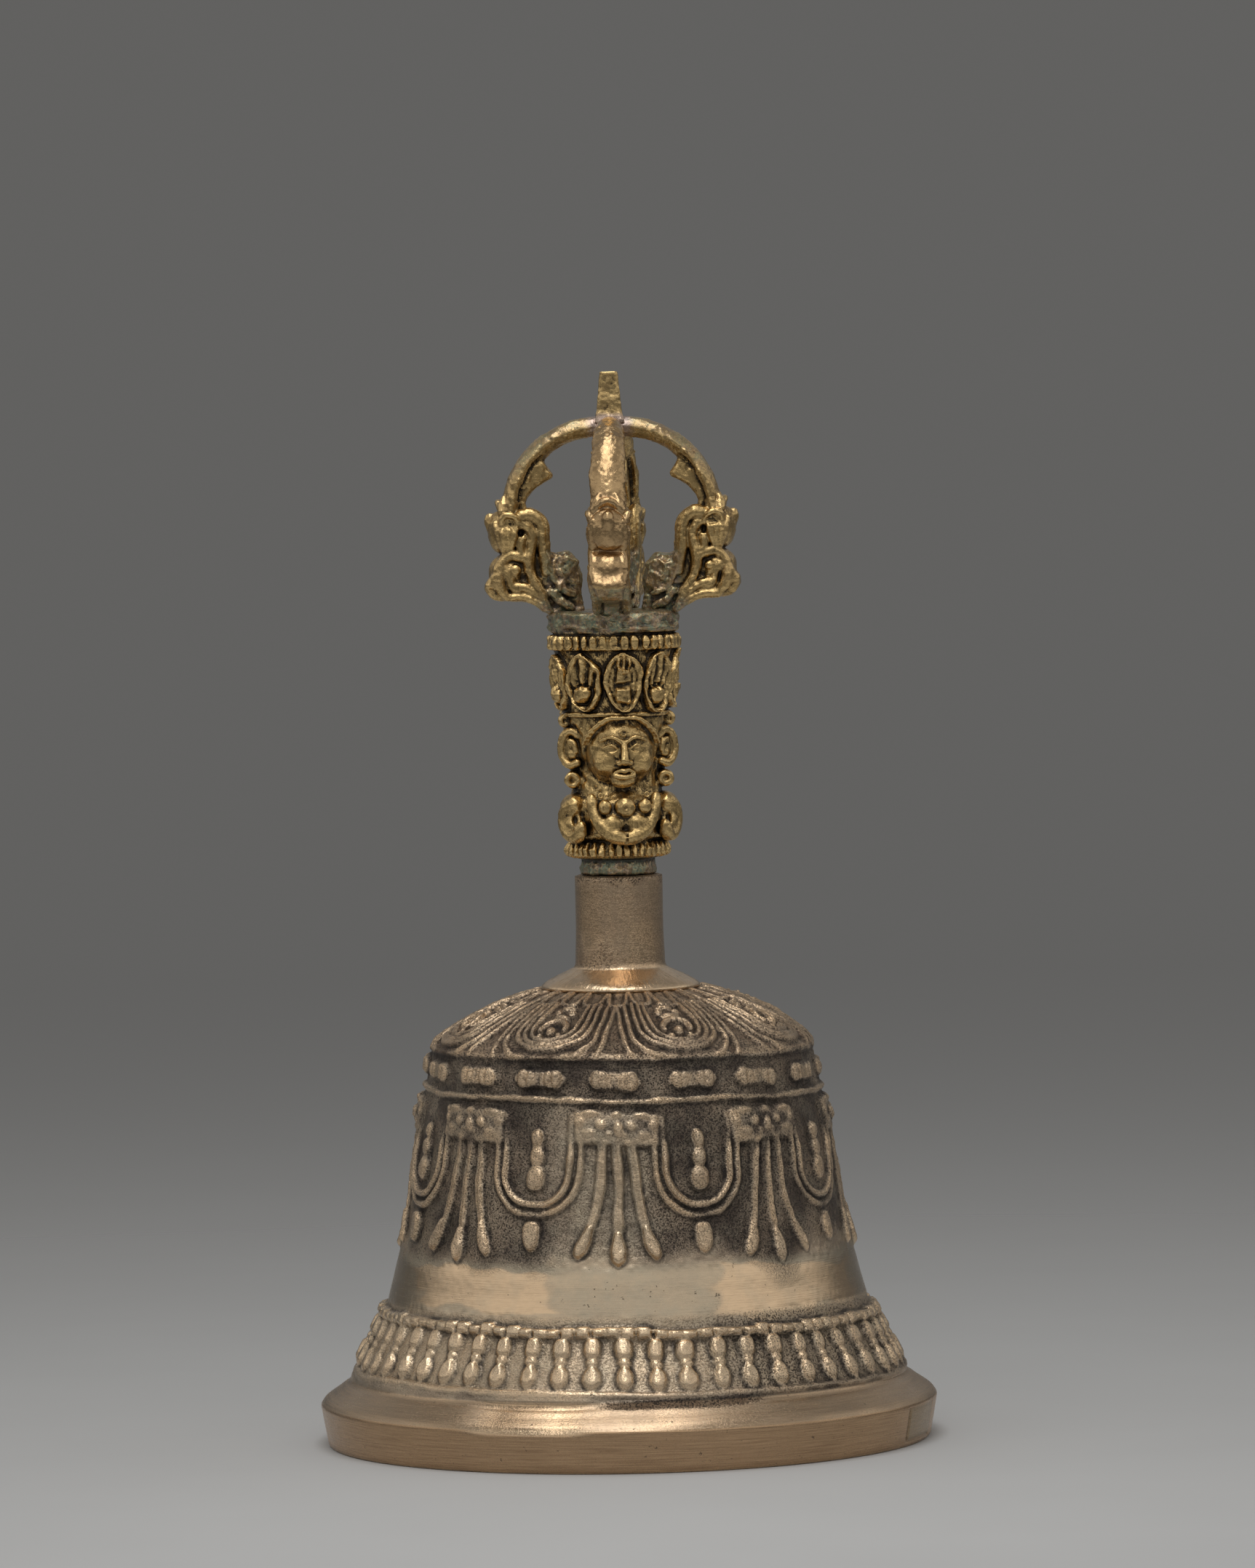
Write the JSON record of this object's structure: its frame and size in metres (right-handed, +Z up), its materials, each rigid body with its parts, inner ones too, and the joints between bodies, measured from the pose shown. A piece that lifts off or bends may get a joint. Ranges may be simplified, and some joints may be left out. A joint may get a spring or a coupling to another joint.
{
  "type": "ritual hand bell",
  "caption": "Bronze ritual hand bell with a cast ornamented skirt, a brass handle with a crowned head under a pronged half vajra, and a linked clapper.",
  "frame": {"origin": "centre of the mouth, on the surface that the bell stands on", "axes": "+Z up the handle; the face on the handle looks along -Y; +X to the right of someone who faces it"},
  "size_m": [0.096, 0.096, 0.1662],
  "materials": {
    "bell_bronze": "cast bronze, worn and brushed on the high spots",
    "handle_brass": "cast brass with dark patina in the recesses",
    "prong_brass": "cast and filed brass, brazed, with verdigris at the roots",
    "forged_iron": "forged iron, dark and a little rusty",
    "lac": "dull dark resin"
  },
  "bodies": {
    "bell": {"bell_body": "bell_bronze", "handle_casting": "handle_brass", "handle_tang": "forged_iron", "lac_filling": "lac", "vajra_centre_prong": "prong_brass", "vajra_prong_front": "prong_brass", "vajra_prong_back": "prong_brass", "vajra_prong_left": "prong_brass", "vajra_prong_right": "prong_brass", "clapper_staple": "forged_iron"},
    "link": {"clapper_ring": "forged_iron"},
    "clapper": {"clapper": "forged_iron"}
  },
  "joints": [
    {"name": "link_swing", "type": "hinge", "parent": "bell", "child": "link", "pos_m": [0, 0, 0.0607], "axis": [1, 0, 0], "range_deg": [-12, 12]},
    {"name": "clapper_swing", "type": "hinge", "parent": "link", "child": "clapper", "pos_m": [0, 0, 0.0556], "axis": [0, 1, 0], "range_deg": [-37, 37]}
  ]
}
